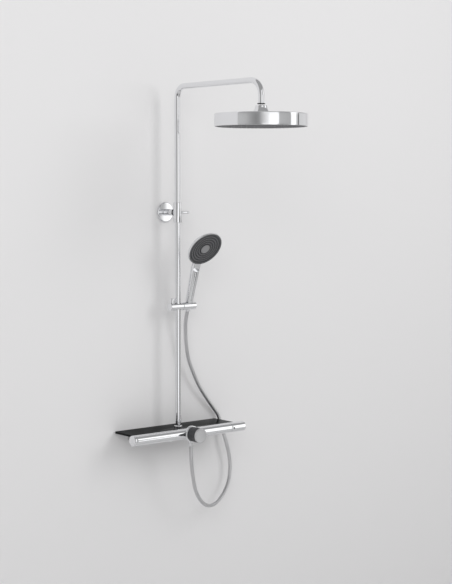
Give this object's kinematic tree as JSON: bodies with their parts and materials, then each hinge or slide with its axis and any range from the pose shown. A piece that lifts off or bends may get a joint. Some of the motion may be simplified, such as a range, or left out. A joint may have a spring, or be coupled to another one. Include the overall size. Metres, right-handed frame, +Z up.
{
  "type": "rainfall shower column",
  "caption": "Wall-mounted shower column: bar mixer under a glass shelf, riser with swivelling arm and large rain head, and a handset on a sliding tilting holder with its hose.",
  "frame": {"origin": "on the wall, level with the mixer bar's axis and in line with the riser", "axes": "+Y into the wall, +Z up along the riser, +X to the right as a user faces the wall"},
  "size_m": [0.5149, 0.662, 1.4846],
  "materials": {
    "chrome": "polished chrome plate",
    "satin_metal": "fine satin metal",
    "brass": "turned brass",
    "hose_metal": "satin grey interlocking metal hose",
    "dark_plastic": "dark grey moulded plastic",
    "black_rubber": "black rubber",
    "black_glass": "black back-coated safety glass",
    "grey_silicone": "soft grey silicone",
    "white_plastic": "natural acetal plastic",
    "steel": "plain stainless steel"
  },
  "bodies": {
    "root": {"bracket_bolt": "steel", "bracket_bush": "white_plastic", "bracket_flange": "chrome", "bracket_post": "chrome", "bracket_seal": "black_rubber", "bracket_sleeve": "chrome", "bracket_trim_ring": "chrome", "bracket_wall_plate": "steel", "check_valve_cold": "white_plastic", "check_valve_hot": "white_plastic", "clamp_pin": "chrome", "diverter_cartridge": "brass", "end_cap_left": "chrome", "hose": "hose_metal", "hose_nipple": "chrome", "hose_nut_mixer": "chrome", "inlet_union_cold": "chrome", "inlet_union_hot": "chrome", "knob_collar": "chrome", "mixer_body": "chrome", "riser_base_ring": "chrome", "riser_elbow": "chrome", "riser_tube": "chrome", "shelf_bracket_left": "steel", "shelf_bracket_right": "steel", "shelf_panel": "black_glass", "swivel_coupling": "brass", "thermostat_cartridge": "brass", "union_nut_cold": "chrome", "union_nut_hot": "chrome", "wall_rosette_cold": "chrome", "wall_rosette_hot": "chrome"},
    "arm": {"arm_tube": "chrome", "ball_stud": "chrome", "arm_seal_ring": "black_rubber"},
    "ball_seat": {"ball_seat": "white_plastic"},
    "rain_head": {"swivel_nut": "chrome", "flow_limiter": "white_plastic", "head_shell": "chrome", "head_spray_plate": "dark_plastic", "head_nozzle_mat": "grey_silicone", "head_water_chamber": "white_plastic"},
    "carriage": {"slider_body": "chrome", "slider_bush": "white_plastic", "holder_pivot": "steel", "slider_button_spring": "steel"},
    "release_button": {"slider_button": "chrome"},
    "holder": {"holder_barrel": "chrome"},
    "handset": {"hose_nut_handset": "chrome", "handset_shell": "chrome", "handset_face": "dark_plastic", "handset_manifold": "white_plastic"},
    "select_button": {"select_button": "satin_metal"},
    "diverter_knob": {"diverter_spindle": "brass", "knob_grip": "dark_plastic", "knob_face": "satin_metal"},
    "temperature_handle": {"temperature_spindle": "brass", "temperature_handle": "chrome"},
    "safety_button": {"safety_button": "dark_plastic"}
  },
  "joints": [
    {"name": "arm_swivel", "type": "hinge", "parent": "root", "child": "arm", "pos_m": [0, -0.074, 0.758], "axis": [0, 0, 1], "range_deg": [-60, 60]},
    {"name": "head_roll", "type": "hinge", "parent": "arm", "child": "ball_seat", "pos_m": [0, -0.512, 1.098], "axis": [0, 1, 0], "range_deg": [-13, 13]},
    {"name": "head_tilt", "type": "hinge", "parent": "ball_seat", "child": "rain_head", "pos_m": [0, -0.512, 1.098], "axis": [1, 0, 0], "range_deg": [-13, 13]},
    {"name": "slider_slide", "type": "slide", "parent": "root", "child": "carriage", "axis": [0, 0, 1], "range_m": [-0.2, 0.22], "deforming": ["hose"]},
    {"name": "release_press", "type": "slide", "parent": "carriage", "child": "release_button", "axis": [0, 0, -1], "range_m": [0, 0.003], "stiffness_N_per_m": 900, "deforming": ["slider_button_spring"]},
    {"name": "holder_tilt", "type": "hinge", "parent": "carriage", "child": "holder", "pos_m": [0.02, -0.074, 0.434], "axis": [1, 0, 0], "range_deg": [-10, 20]},
    {"name": "handset_lift", "type": "slide", "parent": "holder", "child": "handset", "axis": [0, -0.2924, 0.9563], "range_m": [0, 0.055]},
    {"name": "select_press", "type": "slide", "parent": "handset", "child": "select_button", "axis": [0, 0.8211, 0.5707], "range_m": [0, 0.002], "stiffness_N_per_m": 900},
    {"name": "diverter_turn", "type": "hinge", "parent": "root", "child": "diverter_knob", "pos_m": [0, -0.158, 0], "axis": [0, -1, 0], "range_deg": [-90, 90]},
    {"name": "temperature_turn", "type": "hinge", "parent": "root", "child": "temperature_handle", "pos_m": [0.2, -0.136, 0], "axis": [1, 0, 0], "range_deg": [-45, 135]},
    {"name": "safety_press", "type": "slide", "parent": "temperature_handle", "child": "safety_button", "axis": [0, 1, 0], "range_m": [0, 0.0012], "stiffness_N_per_m": 900}
  ]
}
